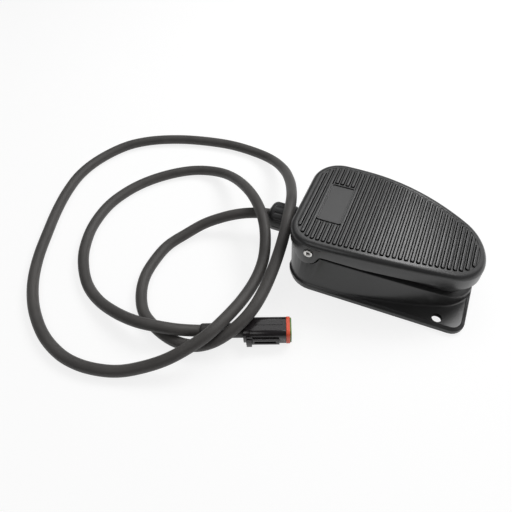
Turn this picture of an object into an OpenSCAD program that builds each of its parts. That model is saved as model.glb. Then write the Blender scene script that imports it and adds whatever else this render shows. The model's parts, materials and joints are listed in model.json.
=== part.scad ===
// Foot switch: a D-shaped hinged pedal over a flanged die-cast housing, with a
// snap-action switch inside and a two-wire cord to a sealed two-way connector.
// Millimetres, +Z up, +X towards the toe, hinge axis along Y.

/* [Pedal] */
// length from the straight rear edge to the toe
pedal_len = 173; // [150:0.5:200]
// radius of the rear corners seen from above
corner_r = 27; // [15:0.5:32]
// radius of the toe arc
toe_r = 37.5; // [30:0.5:45]
// radius of the long side arcs
side_r = 336; // [250:1:450]
// height of the flat rear part of the tread above the floor
tread_z = 65.5; // [58:0.5:75]
// radius of the crown that drops the tread towards the toe
crown_r = 325; // [250:5:600]
// where the crown starts, measured from the middle of the pedal
crown_x = -34; // [-60:1:0]
// height of the pedal skirt
skirt_h = 15.9; // [12:0.1:20]
// thickness of the skirt wall
skirt_t = 2.8; // [2:0.1:4]
// thickness of the tread shell
tread_t = 3.5; // [2.5:0.1:5]
// radius of the rounded tread edge
edge_r = 5; // [2:0.5:8]

/* [Ribs and window] */
// distance between ribs
rib_pitch = 5.1; // [4:0.1:8]
// width of one rib
rib_w = 2.9; // [1.5:0.1:4]
// height of the ribs above the tread
rib_h = 1.1; // [0.6:0.1:2]
// width of the plain border around the ribs
border_w = 7.5; // [5:0.5:14]
// length of the bare nameplate window across the pedal
window_l = 46; // [30:1:60]
// depth of the window below the tread
window_d = 0.6; // [0:0.1:1.5]

/* [Hinge] */
// distance of the hinge axis from the middle, towards the rear
hinge_back = 61.5; // [50:0.5:70]
// height of the hinge axis
hinge_z = 53.5; // [48:0.5:58]
// outer diameter of the tubular hinge pin
pin_d = 8; // [6:0.1:10]
// radius of the pedal ears
ear_r = 13.2; // [11:0.1:15]
// pedal travel in degrees
travel = 4.5; // [3:0.1:5]

/* [Housing] */
// overall width of the mounting flange
flange_w = 114; // [100:1:130]
// height of the flange top above the floor
flange_z = 6.3; // [5:0.1:9]
// radius of the front flange corners
flange_r = 12; // [6:0.5:20]
// wall thickness of the casting
wall = 3.2; // [2.5:0.1:4.5]
// mounting hole diameter
hole_d = 9; // [6:0.1:11]
// distance between the two mounting holes
hole_pitch = 96.5; // [88:0.5:98]
// distance of the mounting holes in front of the middle
hole_x = 60; // [50:0.5:68]

/* [Cord] */
// outer diameter of the cord
cord_d = 11; // [8:0.1:12]
// height of the cable gland axis
gland_z = 26.5; // [22:0.5:32]

/* [Hidden] */
$fn = 24;
xr = -pedal_len / 2;             // rear edge
xt = pedal_len / 2;              // toe
hx = -hinge_back;
ear_c = [hx - 3.8, hinge_z - 2.6]; // the ears sit a little behind and below the pin
ear_f = 5;                       // their fillets into the skirt
toe_a = 69.5;                    // angle where side arc and toe arc meet
plate_t = 1.5;                   // bottom cover sheet
gasket_t = 0.6;
base_z = plate_t + gasket_t;     // underside of the casting
body_xr = xr + 1;                // housing stands inside the pedal outline
body_xt = xt - 2.6;
body_toe_r = toe_r - 1.5;
flange_xt = 84.2;
clr = 1.2;                       // gap kept under the pedal at full travel
in_off = 5;                      // upper wall stands this far inside the skirt
act_x = 10;                      // switch plunger, from the middle
act_top = 54.6;                  // plunger head at rest
ball_z = 40.4;                   // centre of the plunger's round nose at rest
well_z = 44.5;                   // floor of the plunger well
spr_x = 30;                      // return springs
spr_y = 21;
spr_z0 = 31;                     // spring seat in the housing
pad_x = 52;                      // full-travel pads
pad_y = 17;
pad_z = 35.5;                    // floor of their pockets
rest_x = -76;                    // rest pads behind the hinge
rest_y = 16;
lever_a = 21;                    // switch lever at rest
sw_x = 3;                        // switch body centre
sw_top = 27.5;
sw_h = 15.9;
screw_pts = [[-76, -38], [-76, 38], [-6, -47.5], [-6, 47.5], [63, -25.5], [63, 25.5]];
brk_x = [-17, 15];               // bracket screws
brk_y = -14.5;
piv_z = 28.7;                    // lever pivot
hole_a = [-11.1, 24.5];          // switch fixing holes, from the switch centre
hole_b = [11.1, 14.2];
con_p = [-95, -126, 9.3];          // rear end of the connector
con_a = 22.4;                    // its heading on the floor
eps = 0.02;

// ---------- outline of tangent arcs ----------

// points of an arc around c
function arc(c, r, a0, a1, n) =
  [for (i = [0:n]) let (a = a0 + (a1 - a0) * i / n) [c[0] + r * cos(a), c[1] + r * sin(a)]];

// near half of the D: rear corner, long side, toe; off grows it along its normals
function d_half(off, x0, x1, rt, n = [9, 12, 18]) =
  let (
    ct = [x1 - rt, 0],
    cs = [ct[0] - (side_r - rt) * cos(toe_a), (side_r - rt) * sin(toe_a)],
    cx = x0 + corner_r,
    cy = cs[1] - sqrt(pow(side_r - corner_r, 2) - pow(cx - cs[0], 2)),
    as = atan2(cy - cs[1], cx - cs[0])
  )
  concat(
    arc([cx, cy], corner_r + off, -180, as, n[0]),
    [for (p = arc(cs, side_r + off, as, -toe_a, n[1])) if (p[0] > cx + 2) p],
    [for (i = [1:n[2]]) let (a = -toe_a + toe_a * i / n[2])
      [ct[0] + (rt + off) * cos(a), ct[1] + (rt + off) * sin(a)]]
  );

function mirrored(h) = concat(h, [for (i = [len(h) - 2:-1:0]) [h[i][0], -h[i][1]]]);
function pedal_line(off) = mirrored(d_half(off, xr, xt, toe_r));
function body_line(off) = mirrored(d_half(off, body_xr, body_xt, body_toe_r));
// upper wall and roof: inside the skirt, with more room at the toe for the swing
function inner_line(off) =
  mirrored(d_half(off - in_off, xr, xt - 3, toe_r - 1.5));
// flange: the rear corners follow the body, the front corners are tighter
function flange_line(off) = let (
    hw = flange_w / 2,
    h = concat(
      arc([body_xr - 0.4 + corner_r, corner_r - hw], corner_r + off, 180, 270, 10),
      arc([flange_xt - flange_r, flange_r - hw], flange_r + off, 270, 360, 6)))
  concat(h, [for (i = [len(h) - 1:-1:0]) [h[i][0], -h[i][1]]]);

// ---------- side profiles ----------

function top_z(x) = x < crown_x ? tread_z
  : tread_z - crown_r + sqrt(pow(crown_r, 2) - pow(x - crown_x, 2));
function ledge_z(x) =
  48.8 - 0.075 * max(0, x + 62) - 0.002 * pow(max(0, x - crown_x), 2);
// lower edge of the skirt, arched up a little in front of the ears
function skirt_z(x) =
  top_z(x) - skirt_h + (x < hx - 4 ? 0 : max(0, min(2.2, -0.07 * (x + 14))));

module under_top(drop) {
  polygon(concat([[-120, -20], [-120, tread_z - drop]],
    [for (x = [crown_x:8:crown_x + 144]) [x, top_z(x) - drop]],
    [[crown_x + 144, -20]]));
}

// the same profile swung down about the hinge to the end of its travel
module under_pressed(drop) {
  translate([hx, hinge_z]) rotate(-travel) translate([-hx, -hinge_z]) under_top(drop);
}

// clear of the pedal underside both at rest and pressed
module under_roof(drop) {
  intersection() {
    under_top(tread_t + clr + drop);
    under_pressed(tread_t + clr + drop);
  }
}

module under_ledge(drop) {
  polygon(concat([[-120, -20], [-120, ledge_z(-120) - drop]],
    [for (x = [-62, -48, each [crown_x:8:crown_x + 136]]) [x, ledge_z(x) - drop]],
    [[crown_x + 136, -20]]));
}

// ear with a fillet up to the skirt on both sides
module ear_2d(grow = 0) {
  r = ear_r + grow;
  f = ear_f - grow;
  function side(zs) = let (dz = ear_c[1] - (zs - grow - f))
    [sqrt(pow(r + f, 2) - pow(dz, 2)), dz];
  b = side(skirt_z(ear_c[0] - 15));
  a = side(skirt_z(ear_c[0] + 15));
  ab = atan2(b[1], b[0]);
  aa = atan2(a[1], a[0]);
  polygon(concat(
    arc([ear_c[0] - b[0], ear_c[1] - b[1]], f, 90, ab, 5),
    arc(ear_c, r, ab - 180, -aa, 26),
    arc([ear_c[0] + a[0], ear_c[1] - a[1]], f, 180 - aa, 90, 5),
    [[ear_c[0] + a[0], hinge_z + 2], [ear_c[0] - b[0], hinge_z + 2]]));
}

module across(w = 160) { rotate([90, 0, 0]) linear_extrude(w, center = true) children(); }
module y_cyl(x, z, d, y0, y1) {
  translate([x, y0, z]) rotate([-90, 0, 0]) cylinder(d = d, h = y1 - y0);
}
module x_cyl(x0, x1, d) {
  translate([x0, 0, gland_z]) rotate([0, 90, 0]) cylinder(d = d, h = x1 - x0);
}

// closed skin through rings of equal length, capped with strips across the D
module skin(rings) {
  m = len(rings[0]);
  k = len(rings);
  h = ceil(m / 2);
  pts = [for (r = rings) each r];
  side = [for (j = [0:k - 2]) for (i = [0:m - 1]) let (i2 = (i + 1) % m)
    each [[j * m + i, j * m + i2, (j + 1) * m + i2], [j * m + i, (j + 1) * m + i2, (j + 1) * m + i]]];
  function strip(o, flip) = [for (i = [0:h - 2])
    let (a = o + i, b = o + i + 1, c = o + m - 2 - i, d = o + m - 1 - i)
    each (b == c ? [flip ? [a, d, b] : [a, b, d]]
      : flip ? [[a, d, c], [a, c, b]] : [[a, b, c], [a, c, d]])];
  polyhedron(pts, [for (f = concat(side, strip(0, true), strip((k - 1) * m, false)))
    [f[2], f[1], f[0]]], convexity = 6);
}

// ---------- housing ----------

module flange_2d(grow = 0) { polygon(flange_line(grow)); }

// flange plate with a shallow weathered border falling to its edge
module flange_skin() {
  skin([for (r = [[0, base_z], [0, flange_z - 2], [-0.7, flange_z - 1.3],
      [-3.1, flange_z - 0.5], [-3.4, flange_z]])
    [for (p = flange_line(r[0])) [p[0], p[1], r[1]]]]);
}

// outer skin of the lower housing: root fillet on the flange, wall, sloping ledge;
// at both ends the fillet dies out, because the wall stands on the flange's edge there
module body_skin() {
  f = 2;
  function kept(x) = x < body_xr ? body_xr + (x - body_xr) / 10
    : x > body_xt ? body_xt + (x - body_xt) / 10 : x;
  skin(concat(
    [[for (p = body_line(f)) [kept(p[0]), p[1], base_z + 1]]],
    [for (a = [0:30:90]) [for (p = body_line(f * (1 - sin(a))))
      [kept(p[0]), p[1], flange_z + f * (1 - cos(a))]]],
    [for (a = [0:30:90]) [for (p = body_line(-1.2 * (1 - cos(a))))
      [p[0], p[1], ledge_z(p[0]) - 1.2 * (1 - sin(a))]]]));
}

module base_housing() {
  color([0.09, 0.09, 0.10])
  difference() {
    union() {
      flange_skin();
      body_skin();
      intersection() {
        translate([0, 0, base_z]) linear_extrude(70) polygon(inner_line(0));
        across() under_roof(0);
      }
    }
    // cavity: wide below the ledge, narrow under the roof
    difference() {
      union() {
        intersection() {
          translate([0, 0, -1]) linear_extrude(70) polygon(body_line(-wall));
          across() under_ledge(wall);
        }
        intersection() {
          translate([0, 0, -1]) linear_extrude(70) polygon(inner_line(-wall));
          across() under_roof(wall);
        }
      }
      // hinge barrel and the pads behind the ear pockets
      y_cyl(hx, hinge_z, 16, -60, 60);
      for (s = [-1, 1]) y_cyl(hx, hinge_z, 30, s * 50 - 2.5, s * 50 + 2.5);
      // thicker wall behind the ear pockets
      translate([0, 0, 34]) linear_extrude(30) difference() {
        polygon(body_line(-1));
        polygon(body_line(-wall - 2.5));
        translate([-46, -100]) square(200);
      }
      // screw bosses
      for (p = screw_pts) translate([p[0], p[1], base_z]) cylinder(d = 9, h = 22);
      // plunger well, spring wells
      translate([act_x, 0, well_z - 3]) cylinder(d = 31, h = 40);
      for (s = [-1, 1]) translate([spr_x, s * spr_y, spr_z0 - 3]) cylinder(d = 20, h = 40);
      // material under the full-travel pads
      for (s = [-1, 1]) translate([pad_x, s * pad_y, pad_z - 3]) cylinder(d = 15, h = 30);
      // bracket bosses hanging from the roof
      for (x = brk_x) translate([x, brk_y, 33]) cylinder(d = 8, h = 30);
      // pad around the gland hole
      translate([body_xr + wall - 0.1, 0, gland_z]) rotate([0, 90, 0]) cylinder(d = 30, h = 2.1);
      // stiffening ribs across the toe
      for (y = [-9, 9]) translate([46, y - 1, base_z + 12]) cube([45, 2, 40]);
    }
    // hollows from the roof side
    translate([act_x, 0, well_z]) cylinder(d = 26, h = 30);
    translate([act_x, 0, well_z - 10]) cylinder(d = 12.2, h = 20);
    for (s = [-1, 1]) {
      translate([spr_x, s * spr_y, spr_z0]) cylinder(d = 15, h = 40);
      translate([pad_x, s * pad_y, pad_z]) cylinder(d = 10.2, h = 20);
      translate([rest_x, s * rest_y, tread_z - tread_t - 3.2]) cylinder(d = 8.2, h = 10);
      // pockets for the pedal ears, and the seats of the bush flanges
      intersection() {
        translate([0, s * 55, 0]) across(30) ear_2d(1.2);
        difference() {
          translate([0, 0, 10]) linear_extrude(60) polygon(pedal_line(2));
          translate([0, 0, 9]) linear_extrude(62) polygon(pedal_line(-skirt_t - 0.5));
        }
      }
      y_cyl(hx, hinge_z, 13, s > 0 ? 50.15 : -60, s > 0 ? 60 : -50.15);
      y_cyl(hx, hinge_z, 11, s > 0 ? 38 : -60, s > 0 ? 60 : -38);
      // mounting holes
      translate([hole_x, s * hole_pitch / 2, -1]) cylinder(d = hole_d, h = 30);
    }
    y_cyl(hx, hinge_z, pin_d + 1, -60, 60);
    x_cyl(body_xr - 1, body_xr + 8, 20.2);
    for (p = screw_pts) translate([p[0], p[1], -1]) cylinder(d = 3.9, h = 18);
    for (x = brk_x) translate([x, brk_y, 32]) cylinder(d = 3.3, h = 9);
  }
}

module bottom_cover() {
  color([0.12, 0.12, 0.13])
  difference() {
    linear_extrude(plate_t) flange_2d(-0.4);
    for (p = screw_pts) translate([p[0], p[1], -eps]) {
      cylinder(d = 4.4, h = 9);
      cylinder(d1 = 8, d2 = 4.4, h = 1.3);
    }
    for (s = [-1, 1]) translate([hole_x, s * hole_pitch / 2, -1]) cylinder(d = 11.5, h = 9);
  }
}

module cover_gasket() {
  color([0.05, 0.05, 0.05])
  translate([0, 0, plate_t]) difference() {
    linear_extrude(gasket_t) flange_2d(-1);
    translate([0, 0, -1]) linear_extrude(4) polygon(body_line(-wall));
    for (p = screw_pts) translate([p[0], p[1], -1]) cylinder(d = 4.4, h = 9);
    for (s = [-1, 1]) translate([hole_x, s * hole_pitch / 2, -1]) cylinder(d = 11.5, h = 9);
  }
}

module cover_screw(i) {
  p = screw_pts[i - 1];
  color([0.70, 0.71, 0.72])
  translate([p[0], p[1], 0.1]) difference() {
    union() {
      cylinder(d1 = 7.4, d2 = 3.8, h = 1.3);
      cylinder(d = 3.8, h = 14);
      translate([0, 0, 14 - eps]) cylinder(d1 = 3.8, d2 = 2.4, h = 1);
    }
    for (a = [0, 90]) rotate(a) translate([-2, -0.4, -1]) cube([4, 0.8, 1.9]);
  }
}

// ---------- pedal ----------

// rounded tread edge over the skirt; z is measured down from the crowned top
module pedal_skin() {
  skin(concat(
    [[for (p = pedal_line(0)) [p[0], p[1], skirt_z(p[0])]]],
    [for (a = [0:18:90]) [for (p = pedal_line(-edge_r * (1 - cos(a))))
      [p[0], p[1], top_z(p[0]) - edge_r * (1 - sin(a))]]]));
}

// ribs with round free ends, kept inside the border
module ribs_2d() {
  e = rib_w / 2;
  line = d_half(-border_w, xr, xt, toe_r, [8, 24, 24]);
  for (i = [-1:29]) {
    x = -72 + i * rib_pitch;
    ys = [for (j = [0:len(line) - 2])
      if (line[j][0] <= x && line[j + 1][0] > x)
        line[j][1] + (line[j + 1][1] - line[j][1]) * (x - line[j][0]) / (line[j + 1][0] - line[j][0])];
    if (len(ys) > 0) {
      y = -ys[0] - e;
      translate([x - e, -y]) square([rib_w, 2 * y]);
      for (s = [-1, 1]) translate([x, s * y]) circle(d = rib_w, $fn = 8);
    }
  }
}

win_x0 = -72 + rib_pitch;
win_x1 = -72 + 6 * rib_pitch;

module pedal() {
  color([0.08, 0.08, 0.085])
  difference() {
    union() {
      difference() {
        union() {
          pedal_skin();
          // ears round the hinge pin follow the curve of the skirt
          intersection() {
            translate([0, 0, 20]) linear_extrude(40) polygon(pedal_line(0));
            for (s = [-1, 1]) translate([0, s * 50, 0]) across(40) ear_2d();
          }
        }
        // hollow under the tread
        intersection() {
          translate([0, 0, -1]) linear_extrude(80) polygon(pedal_line(-skirt_t));
          across() under_top(tread_t);
        }
      }
      // tread ribs and the raised frame of the window
      intersection() {
        translate([0, 0, 20]) linear_extrude(60) difference() {
          union() {
            ribs_2d();
            translate([win_x0, -window_l / 2 - 2]) square([win_x1 - win_x0, window_l + 4]);
          }
          window_2d();
        }
        difference() {
          across() under_top(-rib_h);
          across() under_top(1);
        }
      }
      // bosses under the tread
      intersection() {
        union() {
          translate([act_x, 0, top_z(act_x) - tread_t - 1.5]) cylinder(d = 12, h = 4);
          for (s = [-1, 1]) translate([spr_x, s * spr_y, top_z(spr_x) - tread_t - 2.4])
            cylinder(d = 7.6, h = 5);
        }
        across() under_top(1);
      }
    }
    // bare nameplate window
    translate([0, 0, tread_z - window_d]) linear_extrude(9) window_2d();
    y_cyl(hx, hinge_z, pin_d, -70, 70);
    translate([act_x, 0, 50]) cylinder(d = 4.2, h = top_z(act_x) - 50 - 1.6);
  }
}

module window_2d() {
  e = rib_w / 2;
  r = 2.5;
  x0 = win_x0 + e;
  x1 = win_x1 - e;
  y1 = window_l / 2;
  polygon(concat(
    arc([x0 + r, r - y1], r, 180, 270, 4), arc([x1 - r, r - y1], r, 270, 360, 4),
    arc([x1 - r, y1 - r], r, 0, 90, 4), arc([x0 + r, y1 - r], r, 90, 180, 4)));
}

// tubular pin, flared at both ends outside the ears
module hinge_pin() {
  y1 = 56.3;
  color([0.80, 0.80, 0.79])
  difference() {
    union() {
      y_cyl(hx, hinge_z, pin_d, -y1 - 0.5, y1 + 0.5);
      for (s = [-1, 1]) translate([hx, s * (y1 + 0.5), hinge_z])
        rotate([s * -90, 0, 0]) cylinder(d = pin_d + 0.6, h = 0.5);
    }
    y_cyl(hx, hinge_z, 4.2, -70, 70);
  }
}

module hinge_bush(s) {
  color([0.72, 0.60, 0.38])
  translate([hx, s * 50.2, hinge_z]) rotate([s * -90, 0, 0]) difference() {
    union() {
      translate([0, 0, -12]) cylinder(d = 10.9, h = 12 + eps);
      cylinder(d = 12, h = 1.7);
    }
    translate([0, 0, -20]) cylinder(d = pin_d + 0.1, h = 30);
  }
}

// ---------- springs and pads ----------

// round wire swept along a helix with closed ends
module return_spring(s) {
  z0 = spr_z0 + 0.8;
  z1 = top_z(spr_x + 6) - tread_t - 1;
  rc = 5;
  rw = 0.65;
  turns = 7;
  n = 56;
  k = 6;
  function rise(t) = t < 0.1 ? t * 1.2 : t > 0.9 ? 1 - (1 - t) * 1.2 : 0.12 + (t - 0.1) * 0.95;
  pts = [for (i = [0:n]) let (t = i / n, a = 360 * turns * t, z = z0 + (z1 - z0) * rise(t))
    for (j = [0:k - 1]) let (b = 360 * j / k)
      [(rc + rw * cos(b)) * cos(a), (rc + rw * cos(b)) * sin(a), z + rw * sin(b)]];
  color([0.75, 0.76, 0.78])
  translate([spr_x, s * spr_y, 0])
    polyhedron(pts, concat([[for (j = [0:k - 1]) j]],
      [for (i = [0:n - 1]) for (j = [0:k - 1]) let (j2 = (j + 1) % k)
        each [[i * k + j, (i + 1) * k + j, (i + 1) * k + j2], [i * k + j, (i + 1) * k + j2, i * k + j2]]],
      [[for (j = [k - 1:-1:0]) n * k + j]]), convexity = 20);
}

module rest_pad(s) {
  color([0.05, 0.05, 0.05])
  translate([rest_x, s * rest_y, tread_z - tread_t - 3.15]) cylinder(d = 8, h = 2.95);
}

// cut to lie flat under the tread when the pedal is fully down
module stop_pad(s) {
  color([0.05, 0.05, 0.05])
  intersection() {
    translate([pad_x, s * pad_y, pad_z + 0.05]) cylinder(d = 10, h = 20);
    across() under_pressed(tread_t + 0.3);
  }
}

// ---------- actuator ----------

act_tip = act_top + 0.3;

module actuator_screw() {
  color([0.70, 0.71, 0.72])
  translate([act_x, 0, 0]) union() {
    translate([0, 0, act_tip + 0.6]) cylinder(d = 4.1, h = top_z(act_x) - act_tip - 3);
    translate([0, 0, act_tip]) cylinder(d1 = 2.4, d2 = 4.1, h = 0.62);
  }
}

module actuator_nut() {
  color([0.74, 0.74, 0.72])
  translate([act_x, 0, top_z(act_x) - tread_t - 1.5 - 1.85]) difference() {
    cylinder(d = 7.6, h = 1.8, $fn = 6);
    translate([0, 0, -1]) cylinder(d = 4.15, h = 9);
  }
}

// threaded guide clamped in the floor of the well
module plunger_guide() {
  color([0.72, 0.60, 0.38])
  translate([act_x, 0, 0]) difference() {
    union() {
      translate([0, 0, well_z + 0.02]) cylinder(d = 19, h = 2.5, $fn = 6);
      translate([0, 0, 38.2]) cylinder(d = 12, h = 8);
    }
    translate([0, 0, 20]) cylinder(d = 6.1, h = 40);
  }
}

module guide_nut() {
  color([0.74, 0.74, 0.72])
  translate([act_x, 0, 38.4]) difference() {
    cylinder(d = 19.5, h = 3, $fn = 6);
    translate([0, 0, -1]) cylinder(d = 12.1, h = 9);
  }
}

module plunger() {
  color([0.80, 0.80, 0.79])
  translate([act_x, 0, 0]) union() {
    translate([0, 0, act_top - 1.5]) cylinder(d = 10, h = 1.5);
    translate([0, 0, ball_z]) cylinder(d = 6, h = act_top - ball_z - 1);
    translate([0, 0, ball_z]) sphere(d = 6);
  }
}

// two-fold rubber bellows between the guide head and the plunger head
module plunger_boot() {
  z0 = well_z + 2.6;
  z1 = act_top - 1.6;
  t = 0.8;
  prof = [[4.6, 0], [7.4, 0.22], [4.4, 0.44], [7.4, 0.66], [4.6, 0.88], [4.2, 1]];
  function zz(u) = z0 + (z1 - z0) * u;
  color([0.06, 0.06, 0.06])
  translate([act_x, 0, 0]) rotate_extrude($fn = 28) polygon(concat(
    [for (p = prof) [p[0], zz(p[1])]],
    [for (i = [len(prof) - 1:-1:0]) [prof[i][0] - t, zz(prof[i][1])]]));
}

// ---------- switch ----------

module switch_case() {
  color([0.10, 0.10, 0.11])
  difference() {
    union() {
      translate([sw_x - 13.9, -5.15, sw_top - sw_h]) cube([27.8, 10.3, sw_h]);
      translate([sw_x - 13.4, -3, sw_top - 0.1]) cube([3.4, 6, 2.4]);
    }
    for (h = [hole_a, hole_b]) y_cyl(sw_x + h[0], h[1], 3.1, -9, 9);
    // fork for the lever pivot, well for the button
    y_cyl(sw_x - 11.8, piv_z, 1.2, -9, 9);
    translate([sw_x - 14, -1.5, sw_top + 0.05]) cube([5, 3, 4]);
    translate([sw_x - 4.9, 0, sw_top - 6]) cylinder(d = 3.2, h = 8);
    for (x = [-11, 0.8, 8.4]) translate([sw_x + x - 0.4, -3.2, sw_top - sw_h - 1])
      cube([0.8, 6.4, 3.5]);
  }
}

module switch_button() {
  color([0.85, 0.15, 0.10])
  translate([sw_x - 4.9, 0, sw_top - 3.4]) union() {
    cylinder(d = 3, h = 6.4);
    translate([0, 0, 6.38]) cylinder(d1 = 3, d2 = 2, h = 0.57);
  }
}

module lever_pin() {
  color([0.72, 0.73, 0.74]) y_cyl(sw_x - 11.8, piv_z, 1.16, -2.95, 2.95);
}

// spring-steel lever on its pivot, with a curled end past the plunger nose
module switch_lever() {
  color([0.78, 0.79, 0.80])
  translate([sw_x - 11.8, 0, piv_z]) rotate([0, -lever_a, 0]) difference() {
    union() {
      y_cyl(0, 0, 2, -1.3, 1.3);
      translate([0, -1.3, 0.45]) cube([21.6, 2.6, 0.5]);
      translate([-0.9, -1.3, 0]) cube([1.8, 2.6, 0.9]);
      y_cyl(21.6, 0.2, 1.5, -1.3, 1.3);
    }
    y_cyl(0, 0, 1.3, -9, 9);
  }
}

module terminal(x) {
  color([0.86, 0.74, 0.45])
  translate([sw_x + x, 0, 0]) difference() {
    translate([-0.38, -2.4, 5.6]) cube([0.76, 4.8, sw_top - sw_h - 5.6 + 2.3]);
    translate([-3, 0, 7.4]) rotate([0, 90, 0]) cylinder(d = 1.6, h = 6, $fn = 16);
  }
}

module switch_bracket() {
  color([0.62, 0.64, 0.66])
  difference() {
    union() {
      translate([-22, -19, 31.3]) cube([41, 12.5, 1.6]);
      translate([-12, -8, 11.5]) cube([30, 1.5, 20]);
      for (h = [hole_a, hole_b]) y_cyl(sw_x + h[0], h[1], 6, -6.6, -5.2);
    }
    for (x = brk_x) translate([x, brk_y, 30]) cylinder(d = 4.3, h = 5);
    for (h = [hole_a, hole_b]) y_cyl(sw_x + h[0], h[1], 3.3, -12, -2);
    // lets the guide nut and plunger pass
    translate([act_x, 0, 28]) cylinder(d = 22, h = 8);
  }
}

module switch_screw(h) {
  color([0.70, 0.71, 0.72])
  difference() {
    union() {
      y_cyl(sw_x + h[0], h[1], 2.9, -9, 5.4);
      y_cyl(sw_x + h[0], h[1], 5.5, 5.25, 7.25);
    }
    translate([sw_x + h[0] - 3, 6.5, h[1] - 0.4]) cube([6, 2, 0.8]);
  }
}

module bracket_screw(x) {
  color([0.70, 0.71, 0.72])
  translate([x, brk_y, 0]) difference() {
    union() {
      translate([0, 0, 31.2]) cylinder(d = 3.2, h = 9);
      translate([0, 0, 28.8]) cylinder(d = 7, h = 2.45);
    }
    translate([-4, -0.45, 28]) cube([8, 0.9, 1.8]);
  }
}

// ---------- gland ----------

module gland_body() {
  color([0.07, 0.07, 0.08])
  difference() {
    union() {
      x_cyl(-94.6, body_xr - 1.05, 27, $fn = 6);
      x_cyl(-100, -94.5, 21.5);
      x_cyl(-108, -99.9, 19);
      x_cyl(body_xr - 1.06, -73, 20);
    }
    x_cyl(-120, -60, cord_d + 0.8);
    x_cyl(-120, -100, 15);
  }
}

module gland_washer() {
  color([0.05, 0.05, 0.05])
  difference() {
    x_cyl(body_xr - 1, body_xr - 0.02, 25.5);
    x_cyl(-100, -60, 20.1);
  }
}

module gland_locknut() {
  color([0.10, 0.10, 0.11])
  difference() {
    x_cyl(body_xr + wall + 2.55, body_xr + wall + 7, 27, $fn = 6);
    x_cyl(-100, -60, 20.1);
  }
}

module gland_seal() {
  color([0.05, 0.05, 0.05])
  difference() {
    union() {
      x_cyl(-112, -101, 14.8);
      translate([-115, 0, gland_z]) rotate([0, 90, 0]) cylinder(d1 = 13, d2 = 14.8, h = 3.05);
    }
    x_cyl(-120, -60, cord_d + 0.3);
  }
}

// dome nut with grip flats worked into its skirt
module gland_nut() {
  color([0.07, 0.07, 0.08])
  difference() {
    translate([-121, 0, gland_z]) rotate([0, 90, 0]) rotate_extrude($fn = 36) polygon(concat(
      [[6, 0], [8.2, 0], [8.8, 0.4]],
      arc([9.2, 6.4], 5.3, -62, -4, 5),
      [[14.5, 7], [14.5, 25.2], [14, 25.8], [11, 25.8], [11, 12.5], [9.7, 12.5], [9.7, 9.2], [7.8, 9.2], [7.8, 5.5], [6, 4.5]]));
    for (a = [0:30:330]) translate([-121, 0, gland_z]) rotate([a, 0, 0])
      translate([7.5, 0, 16.4]) rotate([0, 90, 0]) cylinder(d = 5, h = 14, $fn = 12);
  }
}

// ---------- cord ----------

// points of the route along the floor, hand-laid: out of the gland, round, back over
// the gland, out to the wide loop, home over the first turn and into the plug
route = [
  [-78, 0, 26.5], [-100, 0, 26.5], [-121, 0, 26.5], [-137.1, -3.1, 25.4], [-153.8, -8, 22.3],
  [-170.5, -14.9, 17.2], [-186.6, -24.9, 11.7], [-199.7, -40.8, 7.7], [-211.3, -61.4, 5.8],
  [-214.2, -84.2, 5.7], [-212.4, -106, 5.7], [-204.2, -126.1, 5.7], [-190.6, -142.7, 5.7],
  [-170.9, -152.6, 5.7], [-150.2, -157.7, 6.1], [-131.1, -156.5, 8.1], [-116.1, -149.8, 12.8],
  [-104.6, -139.3, 18.8], [-96.4, -126, 23.7], [-91.7, -109.9, 26.5], [-89.9, -91.7, 29],
  [-89.8, -73.1, 32.6], [-90.5, -55, 37.6], [-92.2, -36.8, 42.9], [-95.5, -17.4, 47.4],
  [-100.2, 3.9, 47.2], [-107.7, 25.6, 40], [-118.6, 49.3, 31], [-134.6, 74.2, 20.5],
  [-156.1, 95.1, 11], [-182.5, 107, 6], [-217.1, 110, 5.7], [-252.9, 105.7, 5.7],
  [-287.7, 96.6, 5.7], [-319.4, 81.8, 5.7], [-342.6, 61.5, 5.7], [-358.9, 30.6, 5.7],
  [-365.2, -0.2, 5.7], [-362.3, -30.5, 5.7], [-354, -62, 5.7], [-342.7, -93, 5.7],
  [-330.5, -123, 5.7], [-316.9, -148, 5.7], [-301.3, -168.3, 5.7], [-284.2, -184.4, 5.7],
  [-263.1, -198.5, 5.7], [-239.2, -207.4, 5.7], [-217.6, -209.6, 5.7], [-196.7, -206.8, 5.7],
  [-178.4, -200.8, 6.5], [-159.2, -190.9, 11], [-142.6, -179.7, 16.6], [-128.7, -166.3, 22.7],
  [-117.5, -150.3, 26.5], [-110.4, -129.9, 26.5], [-105.2, -105.3, 24.8], [-102.9, -81.4, 24.8],
  [-104.1, -60.6, 27.5], [-108.5, -43.5, 32.9], [-116.3, -26.5, 38], [-128.6, -8.6, 39.5],
  [-149.9, 15.3, 34], [-179, 40.8, 21], [-206.9, 54.9, 10.5], [-235.1, 53.9, 6], [-257.8, 41, 5.7],
  [-279.2, 20.2, 5.7], [-294.3, -3.7, 5.7], [-303.2, -32.9, 5.7], [-302.1, -65.2, 5.7],
  [-293.2, -93, 5.7], [-280.5, -114.2, 5.7], [-261.6, -133.9, 5.7], [-239.2, -146.6, 7.3],
  [-214, -154.3, 12], [-189.7, -157.7, 16.6], [-168.7, -156.3, 18.6], [-149.8, -150.5, 15],
  [-132.2, -141.3, 9.3], [-113.5, -133.6, 9.3], [-95.5, -126.2, 9.3]
];

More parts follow.
